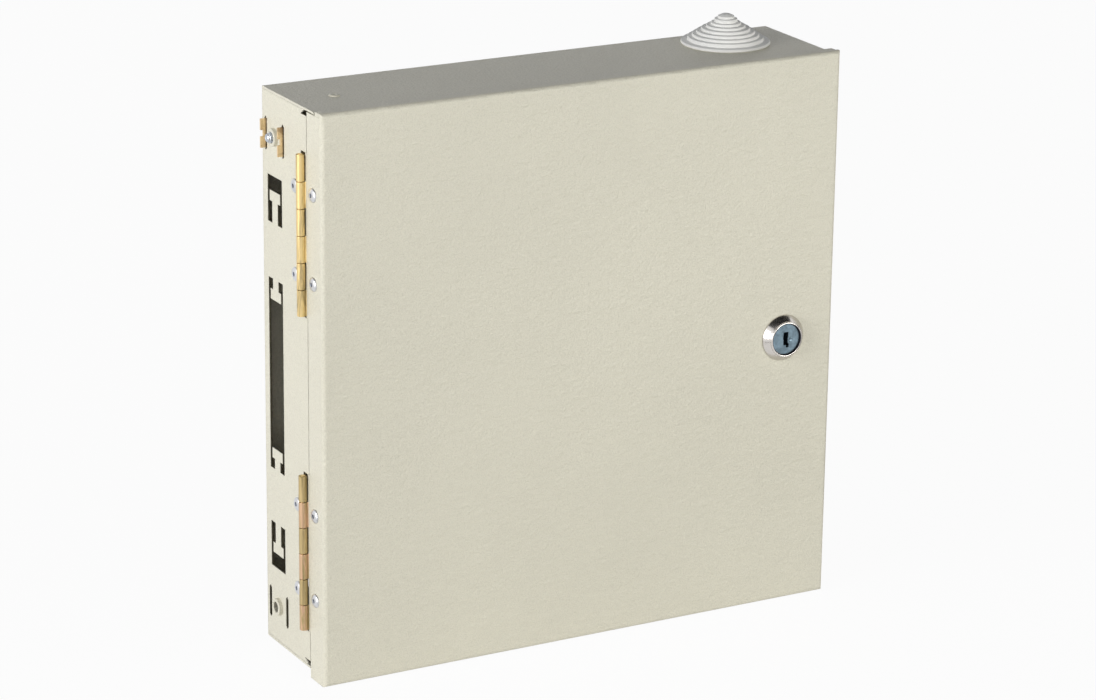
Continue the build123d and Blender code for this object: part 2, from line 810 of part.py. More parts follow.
def make_comb():
    """Splice holder: a base with rows of thin fingers that grip the splice sleeves."""
    pitch = comb_h / comb_slots
    with BuildPart() as comb:
        with BuildSketch(Plane.XZ.offset(-tray_back + tray_floor)):
            with Locations((tray_x, tray_z)):
                Rectangle(comb_w, comb_h)
        extrude(amount=comb_base)
        with BuildSketch(Plane.XZ.offset(-tray_back + tray_floor + comb_base)):
            with Locations((tray_x, tray_z)):
                with GridLocations(comb_w / comb_rows, pitch, comb_rows, comb_slots):
                    Rectangle(comb_w / comb_rows - 3, comb_rib_t)
        extrude(amount=comb_rib_h)
    return comb


def make_lid():
    """Clear lid that lies on the tray's rim, with finger notches and stud holes."""
    under = -tray_back + tray_floor + tray_rim
    with BuildPart() as lid:
        with BuildSketch(Plane.XZ.offset(under)) as outline:
            with Locations((tray_x, tray_z)):
                Rectangle(tray_w, tray_h)
            chamfer(outline.vertices(), length=tray_corner)
            with Locations((tray_x + tray_w / 2, tray_z), (tray_x - tray_w / 2, tray_z)):
                Rectangle(2 * lid_notch, 4 * lid_notch, mode=Mode.SUBTRACT)
            with Locations(*tray_studs):
                bore(stud_r)
        extrude(amount=lid_t)
    return lid


def make_knobs(places, under):
    """Moulded thumb nuts that hold the lid down."""
    with BuildPart() as knobs:
        with BuildSketch(Plane.XZ.offset(under)):
            for x, z in places:
                with Locations((x, z)):
                    RegularPolygon(knob_r, 8)
                    bore(stud_r)
        extrude(amount=knob_h)
    return knobs


os.makedirs("parts", exist_ok=True)

shell = make_body()
wall_space = make_wall_space()
with BuildPart() as box_body:
    add(shell.part)
    add(wall_space.part, mode=Mode.SUBTRACT)
with BuildPart() as hinge_wall:
    add(shell.part)
    add(wall_space.part, mode=Mode.INTERSECT)
save(box_body, "box_body")
save(hinge_wall, "hinge_wall")
save(make_door(), "door")
for centre, where in zip(hinge_centres, ("upper", "lower")):
    save(make_leaf(centre, 1), f"{where}_hinge_body_leaf")
    save(make_leaf(centre, -1), f"{where}_hinge_door_leaf")
    save(make_pin(centre), f"{where}_hinge_pin")
save(make_rivets(rivet_offset), "body_rivets")
save(make_rivets(-rivet_offset), "door_rivets")
for centre, where in zip(clamp_centres, ("upper", "lower")):
    save(make_bush(centre), f"{where}_threaded_bush")
save(make_clamp_bracket(), "clamp_bracket")
save(make_clamp_screw(), "clamp_screw")
save(make_lock_barrel(), "lock_barrel")
save(make_lock_plug(), "lock_plug")
save(make_lock_nut(), "lock_nut")
save(make_lock_cam(), "lock_cam")
save(make_cam_screw(), "cam_screw")
save(make_grommet(), "cable_grommet")
save(make_top_rivet(), "top_rivet")

lid_front = -tray_back + tray_floor + tray_rim + lid_t
save(make_studs(tray_studs, standoff_r, standoff_len, lid_front + knob_h - 2 * sheet), "tray_studs")
save(make_studs(earth_studs, earth_shoulder_r, earth_shoulder_t, earth_stud_len), "earth_stud")
save(make_nuts(earth_studs, sheet + earth_shoulder_t, nut_af, stud_nut_t), "earth_nut")

save(make_adapter_bracket(), "adapter_bracket")
for number, z in enumerate(reversed(adapter_zs), start=1):
    save(make_adapter(z), f"adapter_{number}")
    save(make_cap(z, -1), f"patch_cap_{number}")
    save(make_cap(z, 1), f"pigtail_cap_{number}")

save(make_tray(), "splice_tray")
save(make_comb(), "splice_comb")
save(make_lid(), "tray_lid")
save(make_knobs(tray_studs, lid_front), "lid_nuts")
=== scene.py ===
import math

import bmesh
import bpy
from mathutils import Matrix, Vector


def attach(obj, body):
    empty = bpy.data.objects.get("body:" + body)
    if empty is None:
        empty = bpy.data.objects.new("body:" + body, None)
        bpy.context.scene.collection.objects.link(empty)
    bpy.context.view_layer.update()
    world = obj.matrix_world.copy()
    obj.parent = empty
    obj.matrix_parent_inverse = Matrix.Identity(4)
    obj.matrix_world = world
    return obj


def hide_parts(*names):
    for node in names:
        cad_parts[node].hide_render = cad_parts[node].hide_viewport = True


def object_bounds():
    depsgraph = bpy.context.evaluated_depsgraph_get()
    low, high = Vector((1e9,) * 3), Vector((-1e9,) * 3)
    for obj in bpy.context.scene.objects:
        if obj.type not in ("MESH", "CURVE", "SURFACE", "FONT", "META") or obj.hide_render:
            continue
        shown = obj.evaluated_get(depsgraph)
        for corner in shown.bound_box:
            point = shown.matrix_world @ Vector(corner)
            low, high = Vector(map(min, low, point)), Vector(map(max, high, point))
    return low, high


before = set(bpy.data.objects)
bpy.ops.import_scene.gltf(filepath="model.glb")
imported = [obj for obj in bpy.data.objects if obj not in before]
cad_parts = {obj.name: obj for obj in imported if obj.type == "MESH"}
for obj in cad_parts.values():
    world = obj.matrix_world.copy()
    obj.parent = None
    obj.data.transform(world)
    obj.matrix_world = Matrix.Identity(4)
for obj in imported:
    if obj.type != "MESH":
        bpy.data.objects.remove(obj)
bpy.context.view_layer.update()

MM = 0.001
CABINET = "cabinet"
DOOR = "door_leaf"
LOCK = "lock"

# Camera, found by matching the box's corners in the 1096 x 700 picture
CAMERA_PLACE = (-0.83975, -1.54673, 0.55936)
CAMERA_TURN = (72.015, -0.660, -28.761)
CAMERA_LENS = 127.78
CAMERA_SENSOR = 36.0

# Linear colours
CREAM = (0.735, 0.705, 0.585)
# Painted shade: dark colour for the cut faces in the left wall's windows and slots
CUT_FACE_SHADE = (0.16, 0.15, 0.12)
ZINC_GOLD = (0.80, 0.61, 0.29)
ZINC_BRASS = (0.47, 0.36, 0.18)
ZINC_PINK = (0.66, 0.43, 0.28)
ZINC_OLIVE = (0.24, 0.19, 0.08)
ZINC_SAND = (0.82, 0.63, 0.38)
ZINC_BROWN = (0.42, 0.29, 0.17)
STEEL = (0.72, 0.73, 0.75)
BRIGHT_ZINC = (0.58, 0.62, 0.68)
CHROME = (0.66, 0.63, 0.60)
PLUG_BLUE = (0.20, 0.275, 0.33)
RUBBER = (0.90, 0.895, 0.865)
ADAPTER_BLUE = (0.03, 0.13, 0.42)
CAP_RED = (0.50, 0.03, 0.03)
TRAY_BLACK = (0.030, 0.030, 0.033)
COMB_GREY = (0.70, 0.70, 0.68)
LID_CLEAR = (0.93, 0.95, 0.96)
FLOOR = (0.90, 0.90, 0.89)

# The cabinet and the door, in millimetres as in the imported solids
LEFT = -132.5
TOP = 132.5
FRONT = -63.0
WALL_EDGE_Y = -47.8
BEND_Z = 129.5
TOP_RIVET = (-111.5, -33.0)
TOP_RIVET_PROFILE = ((0.0, 0.0), (2.6, 0.0), (2.58, 0.3), (2.2, 0.62), (1.3, 0.7), (1.0, 0.62), (0.9, 0.2),
                     (0.0, 0.2))
# Dark disc in the top rivet's dimple: painted shade
TOP_DIMPLE_SHADE_PROFILE = ((0.0, 0.21), (0.86, 0.21), (0.8, 0.3), (0.0, 0.3))
WELD_OUTLINE = ((0.05, -61.7), (1.4, -61.7), (1.4, -56.25), (0.05, -56.25))
WELD_HEIGHTS = (130.6, 132.98)

# Hinges, their rivets and the hem of the door's flange
HINGE_X = -134.35
HINGE_Y = -45.4
HINGE_LEN = 75.0
HINGE_CENTRES = (74.05, -76.45)
KNUCKLE_R = 2.0
KNUCKLES = 6
KNUCKLE_GAP = 0.3
ROLL_START = 42.0
PIN_R = 1.15
PIN_PLAY = 0.05
LEAF_T = 0.8
LEAF_DROP = 2.85
LEAF_START = 2.8
LEAF_REACH = 14.0
HEM_OUTLINE = ((0.02, -3.2), (0.02, -1.3), (0.10, -1.15), (0.34, -1.15), (0.42, -1.3), (0.42, -3.2))
HEM_PAST = 0.7
RIVET_R = 3.3
RIVET_H = 1.3
RIVET_EDGE = 0.16
RIVET_CROWN_R = 1.05
RIVET_WELL_R = 0.95
RIVET_WELL = 0.75
MANDREL_R = 0.86
RIVET_REACH = 9.1
RIVET_HEIGHTS = (94.55, 53.55, -55.95, -96.95)

# Threaded bushes and the clamp's screw
COLUMN_Y = -14.5
CLAMP_Z = (111.5, -113.9)
BUSH_R = 4.1
BUSH_H = 1.9
BUSH_ROUND = 0.55
THREAD_R = 2.4
THREAD_CREST = 0.22
THREAD_DROP = 0.17
BUSH_TURNS = 4
BUSH_PITCH = 0.35
SCREW_TIP = 4.0
SCREW_ROOT_R = 2.0
SCREW_CREST_R = 2.36
SCREW_PITCH = 0.7
SCREW_HEAD_R = 4.2
SCREW_HEAD = (-4.6, -2.0)

# Cable grommet: a foot below the wall, a flange and tiers as (radius, top)
GROMMET_X = 97.4
GROMMET_Y = -23.0
GROMMET_FOOT = ((16.4, -2.6), (18.3, -2.6), (18.3, -1.05), (16.4, -1.0), (16.4, 0.0), (20.6, 0.0))
GROMMET_FLANGE = (21.1, 1.6)
GROMMET_TIERS = ((17.9, 3.4), (15.8, 4.8), (13.7, 6.2), (11.5, 7.6), (9.2, 8.9), (7.1, 10.2), (5.4, 11.9),
                 (3.9, 13.2))
GROMMET_DOME = ((2.9, 0.35), (2.2, 0.68), (1.3, 0.88), (0.0, 0.95))
TIER_ROUND = 0.42
GROMMET_WALL = (2.6, 1.8)

# Lock
LOCK_X = 109.0
LOCK_Z = -3.5
BEZEL_R = 11.3
BEZEL_H = 4.0
BEZEL_SLOPE = (2.4, 2.95)
LIP_R = 7.9
LIP_ROUND = 0.72
WELL_FLOOR = 1.7
BARREL_R = 9.0
BARREL_FLAT = 8.1
BARREL_LEN = 14.0
PLUG_FACE_R = 7.35
PLUG_R = 5.5
PLUG_SUNK = 1.2
PLUG_PLAY = 0.1
PLUG_END = -14.3
KEYWAY_DEPTH = 9.0
TAIL_HALF = 3.0
TAIL_END = -15.9
DIMPLE_PLACE = (-0.5, -2.7, 0.0)
DIMPLE_PROFILE = ((0.0, -0.2), (1.2, -0.2), (1.2, 0.02), (1.04, 0.15), (0.85, 0.12), (0.5, 0.05), (0.0, 0.02))
# Painted shade: a thin near-black sheet across the keyway, partway down
KEYWAY_SHADE_OUTLINE = ((-4.4, -1.9), (4.4, -1.9), (4.4, 1.6), (-4.4, 1.6))
KEYWAY_SHADE_DEPTH = (4.4, 4.2)
KEYWAY = ((-3.0, 1.3), (-0.4, 1.3), (0.0, 1.5), (1.6, 1.5), (2.0, 1.3), (3.4, 1.3), (3.4, -1.4), (1.0, -1.4),
          (0.6, -1.1), (-1.8, -1.1), (-2.4, -1.7), (-4.2, -1.7), (-4.2, -0.2), (-3.0, -0.2))
KEYWAY_ROUND = 0.3

# Studio, in metres
FLOOR_SIDE = 16.0
FLOOR_GAP = 0.0004
FLOOR_GLOW = 0.95
SKY = (0.92, 0.95, 1.0, 1.0)
SKY_STRENGTH = 0.42
WHITE = (1.0, 1.0, 1.0, 1.0)
FELT_DARK = (0.003, 0.003, 0.003)
FELT_LIGHT = (0.009, 0.009, 0.009)


def new_material(name):
    """An empty node material and its tree."""
    mat = bpy.data.materials.new(name)
    mat.use_nodes = True
    mat.node_tree.nodes.clear()
    return mat, mat.node_tree


def shades(colour, share, low=0.3, high=0.7):
    """Two ramp stops: a share of the colour, then the colour itself."""
    return (low, tuple(c * share for c in colour)), (high, colour)


class Nodes:
    """Short calls for building a node tree."""

    def __init__(self, tree):
        self.tree = tree

    def add(self, kind, **settings):
        node = self.tree.nodes.new(kind)
        for key, value in settings.items():
            setattr(node, key, value)
        return node

    def link(self, out, into):
        self.tree.links.new(out, into)

    def place(self):
        """The point in the object's own space, in metres."""
        return self.add("ShaderNodeTexCoord").outputs["Object"]

    def noise(self, point, scale, detail=3.0, rough=0.5, distortion=0.0):
        node = self.add("ShaderNodeTexNoise")
        node.inputs["Scale"].default_value = scale
        node.inputs["Detail"].default_value = detail
        node.inputs["Roughness"].default_value = rough
        node.inputs["Distortion"].default_value = distortion
        self.link(point, node.inputs["Vector"])
        return node.outputs["Fac"]

    def stretched(self, point, scale):
        node = self.add("ShaderNodeMapping")
        node.inputs["Scale"].default_value = scale
        self.link(point, node.inputs["Vector"])
        return node.outputs["Vector"]

    def split(self, vector):
        node = self.add("ShaderNodeSeparateXYZ")
        self.link(vector, node.inputs[0])
        return node.outputs

    def ramp(self, value, stops):
        node = self.add("ShaderNodeValToRGB")
        ramp = node.color_ramp
        while len(ramp.elements) < len(stops):
            ramp.elements.new(0.5)
        for element, (place, colour) in zip(ramp.elements, stops):
            element.position = place
            element.color = (*colour, 1.0)
        self.link(value, node.inputs["Fac"])
        return node.outputs["Color"]

    def math(self, operation, a, b=None, c=None):
        node = self.add("ShaderNodeMath", operation=operation)
        for socket, value in zip(node.inputs, (a, b, c)):
            if value is None:
                continue
            if isinstance(value, (int, float)):
                socket.default_value = value
            else:
                self.link(value, socket)
        return node.outputs[0]

    def rounding(self, radius, samples):
        """A normal that rounds the edges by a radius in metres."""
        node = self.add("ShaderNodeBevel", samples=samples)
        node.inputs["Radius"].default_value = radius
        return node.outputs["Normal"]

    def bump(self, height, strength, distance, normal=None):
        node = self.add("ShaderNodeBump")
        node.inputs["Strength"].default_value = strength
        node.inputs["Distance"].default_value = distance
        self.link(height, node.inputs["Height"])
        if normal is not None:
            self.link(normal, node.inputs["Normal"])
        return node.outputs["Normal"]

    def shader(self, **sockets):
        """A Principled shader wired to the output. A value may be a number or a link."""
        node = self.add("ShaderNodeBsdfPrincipled")
        out = self.add("ShaderNodeOutputMaterial")
        self.link(node.outputs[0], out.inputs["Surface"])
        for name, value in sockets.items():
            socket = node.inputs[name.replace("_", " ").title()]
            if isinstance(value, (int, float)):
                socket.default_value = value
            else:
                self.link(value, socket)
        return node

    def backdrop_rays(self):
        """1 for camera, glossy and transmission rays, which meet the white background, else 0."""
        path = self.add("ShaderNodeLightPath")
        seen = self.math("MAXIMUM", path.outputs["Is Camera Ray"], path.outputs["Is Glossy Ray"])
        return self.math("MAXIMUM", seen, path.outputs["Is Transmission Ray"])


def powder_coat(name, colour, cut_edges=False):
    """Baked powder coat: a fine orange-peel skin, uneven in gloss.

    With cut_edges, the cut faces of the wall's windows and slots are coloured dark as painted shade, and the
    upper and lower bends are rounder.
    """
    mat, tree = new_material(name)
    n = Nodes(tree)
    point = n.place()
    peel = n.noise(point, 700.0, 3.0, 0.6)
    fine = n.noise(point, 1700.0, 2.0, 0.5)
    broad = n.noise(point, 9.0, 3.0, 0.5)
    dark = tuple(c * 0.965 for c in colour)
    light = tuple(c * 1.02 for c in colour)
    tone = n.ramp(broad, ((0.3, dark), (0.7, light)))
    fleck = n.ramp(fine, ((0.32, (0.90, 0.90, 0.90)), (0.55, (1.0, 1.0, 1.0))))
    normal = n.rounding(0.00045, 6)
    if cut_edges:
        facing = n.split(n.add("ShaderNodeNewGeometry").outputs["True Normal"])
        flat = n.math("GREATER_THAN", n.math("ABSOLUTE", facing["X"]), 0.5)
        where = n.split(point)
        behind = n.math("GREATER_THAN", where["Y"], WALL_EDGE_Y * MM)
        level = n.math("ABSOLUTE", where["Z"])
        # Painted shade: cut faces behind the flange's edge and below the bends turn dark
        painted_shade_mask = n.math("MULTIPLY", n.math("SUBTRACT", 1.0, flat), behind)
        painted_shade_mask = n.math("MULTIPLY", painted_shade_mask, n.math("LESS_THAN", level, BEND_Z * MM))
        edge = n.add("ShaderNodeMix", data_type="RGBA")
        n.link(painted_shade_mask, edge.inputs[0])
        n.link(fleck, edge.inputs[6])
        edge.inputs[7].default_value = (*CUT_FACE_SHADE, 1.0)
        fleck = edge.outputs[2]
        bend = n.add("ShaderNodeMix", data_type="VECTOR")
        n.link(n.math("GREATER_THAN", level, BEND_Z * MM), bend.inputs[0])
        n.link(normal, bend.inputs[4])
        n.link(n.rounding(0.0016, 8), bend.inputs[5])
        normal = bend.outputs[1]
    coat = n.add("ShaderNodeMix", data_type="RGBA", blend_type="MULTIPLY")
    coat.inputs[0].default_value = 1.0
    n.link(tone, coat.inputs[6])
    n.link(fleck, coat.inputs[7])
    rough = n.math("MULTIPLY_ADD", peel, 0.16, 0.34)
    ripple = n.noise(n.stretched(point, (0.45, 1.0, 1.0)), 330.0, 2.0, 0.5)
    normal = n.bump(ripple, 0.5, 0.0007, normal)
    normal = n.bump(peel, 0.9, 0.0005, normal)
    normal = n.bump(fine, 0.4, 0.00008, normal)
    n.shader(base_color=coat.outputs[2], roughness=rough, normal=normal)
    return mat


def plated(name, stops, rough, grain=(1.0, 1.0, 1.0), grain_scale=900.0, grain_depth=0.00002, patch=60.0,
           run=(1.0, 1.0, 1.0)):
    """Plated or bare metal with coloured patches and a directional grain."""
    mat, tree = new_material(name)
    n = Nodes(tree)
    point = n.place()
    cloud = n.noise(n.stretched(point, run), patch, 4.0, 0.6, 0.6)
    colour = n.ramp(cloud, stops)
    lines = n.noise(n.stretched(point, grain), grain_scale, 3.0, 0.6)
    smudge = n.noise(point, patch * 3.0, 3.0, 0.6)
    roughness = n.math("MULTIPLY_ADD", smudge, 0.18, rough)
    normal = n.bump(lines, 0.5, grain_depth)
    n.shader(base_color=colour, metallic=1.0, roughness=roughness, normal=normal)
    return mat


def rolled_zinc(name, stops, rough):
    """Zinc plate on a rolled hinge, with streaks along the pin."""
    return plated(name, stops, rough, (1.0, 1.0, 0.05), 2400.0, patch=420.0, run=(1.0, 1.0, 0.10))


def moulded(name, colour, rough, grain_scale=1400.0, grain_depth=0.00003):
    """Moulded plastic or rubber with a fine skin and a slight change of shade."""
    mat, tree = new_material(name)
    n = Nodes(tree)
    point = n.place()
    cloud = n.noise(point, 70.0, 3.0, 0.55)
    skin = n.noise(point, grain_scale, 2.0, 0.5)
    tint = n.ramp(cloud, shades(colour, 0.93))
    roughness = n.math("MULTIPLY_ADD", skin, 0.12, rough - 0.06)
    normal = n.bump(skin, 0.35, grain_depth)
    n.shader(base_color=tint, roughness=roughness, normal=normal)
    return mat


def clear_plastic(name, colour, rough):
    """Clear moulded plastic with faint haze."""
    mat, tree = new_material(name)
    n = Nodes(tree)
    point = n.place()
    haze = n.noise(point, 160.0, 3.0, 0.6)
    roughness = n.math("MULTIPLY_ADD", haze, 0.14, rough)
    tint = n.ramp(haze, shades(colour, 0.97))
    normal = n.bump(n.noise(point, 300.0), 0.2, 0.00002)
    shader = n.shader(base_color=tint, roughness=roughness, normal=normal)
    shader.inputs["Transmission Weight"].default_value = 0.88
    shader.inputs["IOR"].default_value = 1.3
    return mat


def axes_frame(origin, out, side=(0.0, 0.0, 1.0)):
    """Matrix from local millimetres to the world: local z runs along out, local x near side."""
    z = Vector(out).normalized()
    x = (Vector(side) - z * Vector(side).dot(z)).normalized()
    y = z.cross(x)
    rot = Matrix((x, y, z)).transposed().to_4x4()
    return Matrix.Translation([v * MM for v in origin]) @ rot @ Matrix.Scale(MM, 4)


def plan_frame(x, y):
    """Matrix from local millimetres to the world, with the axes kept and the origin at (x, y)."""
    return Matrix.Translation((x * MM, y * MM, 0.0)) @ Matrix.Scale(MM, 4)


def make_piece(name, bm, material, body, replaces=()):
    """Turns a bmesh into a named piece with outward faces that rides on a body."""
    bmesh.ops.recalc_face_normals(bm, faces=bm.faces)
    mesh = bpy.data.meshes.new(name)
    bm.to_mesh(mesh)
    bm.free()
    mesh.materials.append(material)
    obj = bpy.data.objects.new(name, mesh)
    bpy.context.scene.collection.objects.link(obj)
    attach(obj, body)
    if replaces:
        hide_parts(*replaces)
    return obj


def smooth(obj, angle=38.0):
    """Smooth shading with the hard edges kept."""
    obj.data.shade_smooth()
    obj.data.set_sharp_from_angle(angle=math.radians(angle))


def soften(obj, width, segments, angle):
    """Rounds the hard edges by a width in millimetres and smooths the rest."""
    obj.data.shade_smooth()
    mod = obj.modifiers.new("soft_edges", "BEVEL")
    mod.width = width * MM
    mod.segments = segments
    mod.limit_method = "ANGLE"
    mod.angle_limit = math.radians(angle)
    mod.harden_normals = True


def lathe(bm, profile, matrix, segments):
    """Adds a closed surface of revolution about local z to a bmesh. profile is (radius, height) in mm."""
    rings = []
    for radius, height in profile:
        if radius < 1e-6:
            rings.append([bm.verts.new(matrix @ Vector((0.0, 0.0, height)))])
            continue
        ring = []
        for step in range(segments):
            angle = 2 * math.pi * step / segments
            point = Vector((radius * math.cos(angle), radius * math.sin(angle), height))
            ring.append(bm.verts.new(matrix @ point))
        rings.append(ring)
    for low, high in zip(rings, rings[1:] + rings[:1]):
        if len(low) == 1 and len(high) == 1:
            continue
        for step in range(segments):
            after = (step + 1) % segments
            if len(low) == 1:
                bm.faces.new((low[0], high[after], high[step]))
            elif len(high) == 1:
                bm.faces.new((low[step], low[after], high[0]))
            else:
                bm.faces.new((low[step], low[after], high[after], high[step]))


def prism(bm, outline, matrix, low, high):
    """Adds a straight prism to a bmesh: outline is (x, y) in local mm, from height low to high."""
    base = [bm.verts.new(matrix @ Vector((x, y, low))) for x, y in outline]
    top = [bm.verts.new(matrix @ Vector((x, y, high))) for x, y in outline]
    bm.faces.new(list(reversed(base)))
    bm.faces.new(top)
    count = len(outline)
    for i in range(count):
        j = (i + 1) % count
        bm.faces.new((base[i], base[j], top[j], top[i]))


def ring_prism(bm, outline, hole, matrix, low, high):
    """Adds a prism with a hole right through it: outline and hole are (x, y) lists in local mm."""
    loops = []
    for height in (low, high):
        edges = []
        rings = []
        for points in (outline, hole):
            ring = [bm.verts.new(matrix @ Vector((x, y, height))) for x, y in points]
            rings.append(ring)
            edges += [bm.edges.new((ring[i], ring[(i + 1) % len(ring)])) for i in range(len(ring))]
        bmesh.ops.triangle_fill(bm, edges=edges, use_beauty=True)
        loops.append(rings)
    for below, above in zip(*loops):
        for i in range(len(below)):
            j = (i + 1) % len(below)
            bm.faces.new((below[i], below[j], above[j], above[i]))


def arc(centre, radius, start, end, steps):
    """Points on an arc, with the angles in degrees."""
    points = []
    for i in range(steps + 1):
        angle = math.radians(start + (end - start) * i / steps)
        points.append((centre[0] + radius * math.cos(angle), centre[1] + radius * math.sin(angle)))
    return points


def circle(radius, steps):
    """Points on a circle about the origin."""
    return arc((0.0, 0.0), radius, 0.0, 360.0 * (steps - 1) / steps, steps - 1)


def rounded(points, radius, steps=4):
    """Rounds every corner of a closed outline by a radius in mm."""
    result = []
    count = len(points)
    for i in range(count):
        corner = Vector(points[i])
        before = Vector(points[i - 1]) - corner
        after = Vector(points[(i + 1) % count]) - corner
        reach = min(radius, before.length * 0.45, after.length * 0.45)
        start = corner + before.normalized() * reach
        end = corner + after.normalized() * reach
        for step in range(steps + 1):
            t = step / steps
            point = start * (1 - t) ** 2 + corner * 2 * t * (1 - t) + end * t ** 2
            result.append((point.x, point.y))
    return result


def make_rivet_heads(node, y, body):
    """Domed blind-rivet heads, each with the broken end of its mandrel in the middle."""
    heads = bmesh.new()
    ends = bmesh.new()
    width = RIVET_R - RIVET_CROWN_R
    height = RIVET_H - RIVET_EDGE
    dome = [(0.0, 0.0), (RIVET_R, 0.0), (RIVET_R, RIVET_EDGE)]
    for angle in [math.radians(8 * k) for k in range(1, 12)]:
        dome.append((RIVET_CROWN_R + width * math.cos(angle), RIVET_EDGE + height * math.sin(angle)))
    dome += [(1.0, RIVET_H - 0.06), (RIVET_WELL_R, RIVET_H - RIVET_WELL), (0.0, RIVET_H - RIVET_WELL)]
    stub = [(0.0, 0.3), (MANDREL_R, 0.3), (MANDREL_R, RIVET_H - 0.42), (0.6, RIVET_H - 0.3),
            (0.0, RIVET_H - 0.36)]
    for z in RIVET_HEIGHTS:
        place = axes_frame((LEFT, y, z), (-1.0, 0.0, 0.0))
        lathe(heads, dome, place, 64)
        lathe(ends, stub, place, 40)
    smooth(make_piece(node + "_domes", heads, rivet_steel, body, (node,)))
    smooth(make_piece(node + "_mandrels", ends, mandrel_steel_and_dimple_shade, body))


def make_hinge_leaf(node, centre, side, body, material):
    """Leaf of a hinge: a flat behind the sheet and three smooth rolls on the pin."""
    bm = bmesh.new()
    place = plan_frame(HINGE_X, HINGE_Y)
    top = centre + HINGE_LEN / 2
    pitch = HINGE_LEN / KNUCKLES
    first = 0 if side > 0 else 1
    back = LEAF_DROP + LEAF_T
    roll = arc((0.0, 0.0), KNUCKLE_R, ROLL_START, 360.0, 60)
    strap = [(KNUCKLE_R, 1.0), (back, LEAF_START), (LEAF_DROP, LEAF_START)]
    profile = [(x, side * y) for x, y in roll + strap]
    for index in range(first, KNUCKLES, 2):
        low = top - (index + 1) * pitch + KNUCKLE_GAP / 2
        high = top - index * pitch - KNUCKLE_GAP / 2
        ring_prism(bm, profile, circle(PIN_R + PIN_PLAY, 40), place, low, high)
    flat = [(LEAF_DROP, side * LEAF_START), (back, side * LEAF_START), (back, side * LEAF_REACH),
            (LEAF_DROP, side * LEAF_REACH)]
    prism(bm, flat, place, centre - HINGE_LEN / 2, top)
    soften(make_piece(node + "_plate", bm, material, body, (node,)), 0.14, 2, 50.0)


def make_flange_hem(name, centre):
    """Turned edge of the door's flange beside a hinge, up to the rolls."""
    bm = bmesh.new()
    half = HINGE_LEN / 2 + HEM_PAST
    prism(bm, HEM_OUTLINE, plan_frame(LEFT, HINGE_Y), centre - half, centre + half)
    soften(make_piece(name, bm, cream, DOOR), 0.08, 2, 40.0)


def make_corner_weld():
    """Dressed weld that closes the door's upper left corner, between the flange and the top lip."""
    bm = bmesh.new()
    prism(bm, WELD_OUTLINE, plan_frame(LEFT, 0.0), *WELD_HEIGHTS)
    soften(make_piece("corner_weld", bm, cream, DOOR), 0.4, 3, 40.0)


def make_bush(node, z):
    """Painted threaded bush: a short ring with a soft front edge and a dark thread."""
    bm = bmesh.new()
    ring = [(BUSH_R, 0.0), (BUSH_R, BUSH_H - BUSH_ROUND)]
    ring += arc((BUSH_R - BUSH_ROUND, BUSH_H - BUSH_ROUND), BUSH_ROUND, 0.0, 90.0, 5)
    ring += [(THREAD_R + 0.45, BUSH_H), (THREAD_R + 0.05, BUSH_H - 0.4)]
    for turn in range(BUSH_TURNS):
        height = BUSH_H - 0.45 - turn * BUSH_PITCH
        ring += [(THREAD_R + 0.02, height), (THREAD_R + THREAD_CREST, height - THREAD_DROP)]
    ring += [(THREAD_R + 0.02, 0.0)]
    lathe(bm, ring, axes_frame((LEFT, COLUMN_Y, z), (-1.0, 0.0, 0.0)), 72)
    smooth(make_piece(node + "_ring", bm, cream, CABINET, (node,)), 45.0)


def make_clamp_screw():
    """Set screw through the upper bush: hexagon head inside, threaded end outside."""
    bm = bmesh.new()
    place = axes_frame((LEFT, COLUMN_Y, CLAMP_Z[0]), (-1.0, 0.0, 0.0))
    profile = [(0.0, -1.9), (2.05, -1.9)]
    height = -1.7
    while height < SCREW_TIP - 0.9:
        profile += [(SCREW_ROOT_R, height), (SCREW_CREST_R, height + 0.22), (SCREW_CREST_R, height + 0.3),
                    (SCREW_ROOT_R, height + 0.52)]
        height += SCREW_PITCH
    profile += [(1.95, SCREW_TIP - 0.5), (1.5, SCREW_TIP - 0.05), (1.2, SCREW_TIP), (0.75, SCREW_TIP - 0.25),
                (0.0, SCREW_TIP - 0.3)]
    lathe(bm, profile, place, 48)
    prism(bm, circle(SCREW_HEAD_R, 6), place, *SCREW_HEAD)
    smooth(make_piece("clamp_screw_thread", bm, bright_zinc, CABINET, ("clamp_screw",)), 30.0)


def make_grommet():
    """Stepped rubber cone: a rounded flange and eight soft tiers, hollow from below."""
    bm = bmesh.new()
    flange_r, base = GROMMET_FLANGE
    profile = list(GROMMET_FOOT)
    profile += arc((flange_r - 0.6, 0.6), 0.6, -60.0, 0.0, 3)
    profile += arc((flange_r - 0.75, base - 0.7), 0.7, 5.0, 75.0, 5)
    for radius, top in GROMMET_TIERS:
        profile += [(radius + 0.45, base - 0.02), (radius + 0.12, base + 0.12)]
        profile += arc((radius - TIER_ROUND, top - TIER_ROUND), TIER_ROUND, 8.0, 82.0, 5)
        base = top
    profile += [(radius, base + rise) for radius, rise in GROMMET_DOME]
    profile += [(0.0, 10.2)]
    for radius, top in reversed(GROMMET_TIERS[:-2]):
        profile.append((radius - GROMMET_WALL[0], top - GROMMET_WALL[1]))
    profile += [(14.6, 0.6), (14.8, -2.6)]
    lathe(bm, profile, axes_frame((GROMMET_X, GROMMET_Y, TOP), (0.0, 0.0, 1.0), (1.0, 0.0, 0.0)), 128)
    smooth(make_piece("grommet_cone", bm, rubber, CABINET, ("cable_grommet",)), 50.0)


